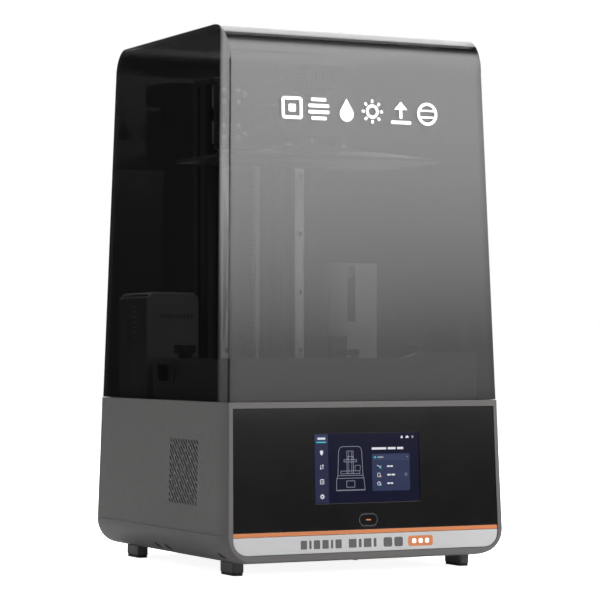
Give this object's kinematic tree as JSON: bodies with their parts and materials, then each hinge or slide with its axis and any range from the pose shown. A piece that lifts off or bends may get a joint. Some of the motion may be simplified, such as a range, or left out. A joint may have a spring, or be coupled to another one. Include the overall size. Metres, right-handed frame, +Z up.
{
  "type": "resin 3d printer",
  "caption": "Masked-LCD resin printer: grey drafted base with touch display and vent grilles, smoked lift-off hood, twin-rail Z axis with build plate, resin vat, heater and resin feed unit.",
  "frame": {"origin": "middle of the footprint, on the surface the machine stands on", "axes": "+Z up, front face towards -Y, +X to the right seen from the front"},
  "size_m": [0.2978, 0.3141, 0.515],
  "materials": {
    "housing_grey": "satin warm grey",
    "panel_black": "gloss black",
    "hood_tint": "smoked translucent gloss",
    "accent_orange": "orange",
    "strip_silver": "satin silver",
    "rubber": "matte black",
    "steel": "ground",
    "aluminium": "bead blasted",
    "anodised_black": "black anodised",
    "dark_plastic": "matte black",
    "vat_dark": "matte dark grey",
    "circuit_board": "green laminate",
    "screen_glass": "dark display glass",
    "clear_film": "clear",
    "brass": "turned",
    "bottle_plastic": "dark satin"
  },
  "bodies": {
    "base": {"lower_housing": "housing_grey", "front_bezel": "panel_black", "display_glass": "screen_glass", "accent_strip": "accent_orange", "name_strip": "strip_silver", "foot_front_left": "housing_grey", "foot_front_right": "housing_grey", "foot_rear_left": "housing_grey", "foot_rear_right": "housing_grey", "foot_pad_front_left": "rubber", "foot_pad_front_right": "rubber", "foot_pad_rear_left": "rubber", "foot_pad_rear_right": "rubber", "deck_plate": "anodised_black", "hood_seal": "rubber", "chassis_plate": "steel", "light_box": "aluminium", "led_board": "circuit_board", "heat_sink": "aluminium", "fan_frame": "dark_plastic", "mainboard": "circuit_board", "power_supply": "aluminium", "rear_panel": "dark_plastic", "power_inlet": "dark_plastic", "z_motor": "anodised_black", "column_beam": "anodised_black", "column_cap": "anodised_black", "rail_left": "steel", "rail_right": "steel", "resin_vat": "vat_dark", "film_clamp": "steel", "release_film": "clear_film", "exposure_screen": "panel_black", "screen_glass": "clear_film", "heater_unit": "dark_plastic", "feed_unit": "dark_plastic", "feed_spout": "dark_plastic"},
    "hood": {"hood": "hood_tint"},
    "screw": {"lead_screw": "steel", "screw_coupling": "aluminium"},
    "carriage": {"carriage_plate": "anodised_black", "bearing_upper_left": "steel", "bearing_upper_right": "steel", "bearing_lower_left": "steel", "bearing_lower_right": "steel", "lead_nut": "brass", "platform_arm": "anodised_black"},
    "platform": {"platform_head": "dark_plastic", "build_plate": "aluminium", "leveling_screw_front_left": "steel", "leveling_screw_front_right": "steel", "leveling_screw_rear_left": "steel", "leveling_screw_rear_right": "steel"},
    "clamp_lever": {"clamp_lever": "dark_plastic"},
    "vat_knob_left": {"vat_knob_left": "aluminium"},
    "vat_knob_right": {"vat_knob_right": "aluminium"},
    "power_button": {"power_button": "panel_black"},
    "rocker": {"rocker_switch": "dark_plastic"},
    "fan_rotor": {"fan_rotor": "dark_plastic"},
    "bottle": {"resin_bottle": "bottle_plastic"}
  },
  "joints": [
    {"name": "hood_lift", "type": "slide", "parent": "base", "child": "hood", "axis": [0, 0, 1], "range_m": [0, 0.34]},
    {"name": "z_travel", "type": "slide", "parent": "base", "child": "carriage", "axis": [0, 0, 1], "range_m": [-0.228, 0]},
    {"name": "screw_spin", "type": "hinge", "parent": "base", "child": "screw", "pos_m": [0, 0.09, 0.3], "axis": [0, 0, 1], "range_deg": [0, 16417]},
    {"name": "platform_release", "type": "slide", "parent": "carriage", "child": "platform", "axis": [0, 0, 1], "range_m": [0, 0.006]},
    {"name": "clamp_lever_lift", "type": "hinge", "parent": "platform", "child": "clamp_lever", "pos_m": [0, -0.012, 0.4735], "axis": [-1, 0, 0], "range_deg": [0, 15]},
    {"name": "vat_knob_left_turn", "type": "hinge", "parent": "base", "child": "vat_knob_left", "pos_m": [-0.1272, -0.0175, 0.211], "axis": [0, 0, 1], "range_deg": [0, 1080]},
    {"name": "vat_knob_right_turn", "type": "hinge", "parent": "base", "child": "vat_knob_right", "pos_m": [0.1272, -0.0175, 0.211], "axis": [0, 0, 1], "range_deg": [0, 1080]},
    {"name": "power_button_press", "type": "slide", "parent": "base", "child": "power_button", "axis": [0, 0.999, -0.044], "range_m": [0, 0.0012], "stiffness_N_per_m": 400},
    {"name": "rocker_tilt", "type": "hinge", "parent": "base", "child": "rocker", "pos_m": [0.099, 0.1452, 0.075], "axis": [1, 0, 0], "range_deg": [-14, 0]},
    {"name": "fan_spin", "type": "hinge", "parent": "base", "child": "fan_rotor", "pos_m": [-0.1361, -0.0594, 0.095], "axis": [1, 0, 0], "continuous": true},
    {"name": "bottle_lift", "type": "slide", "parent": "base", "child": "bottle", "axis": [0, 0, 1], "range_m": [0, 0.15]}
  ],
  "couplings": [
    {"joint": "screw_spin", "follows": "z_travel", "rad_per_m": -1256.6}
  ]
}
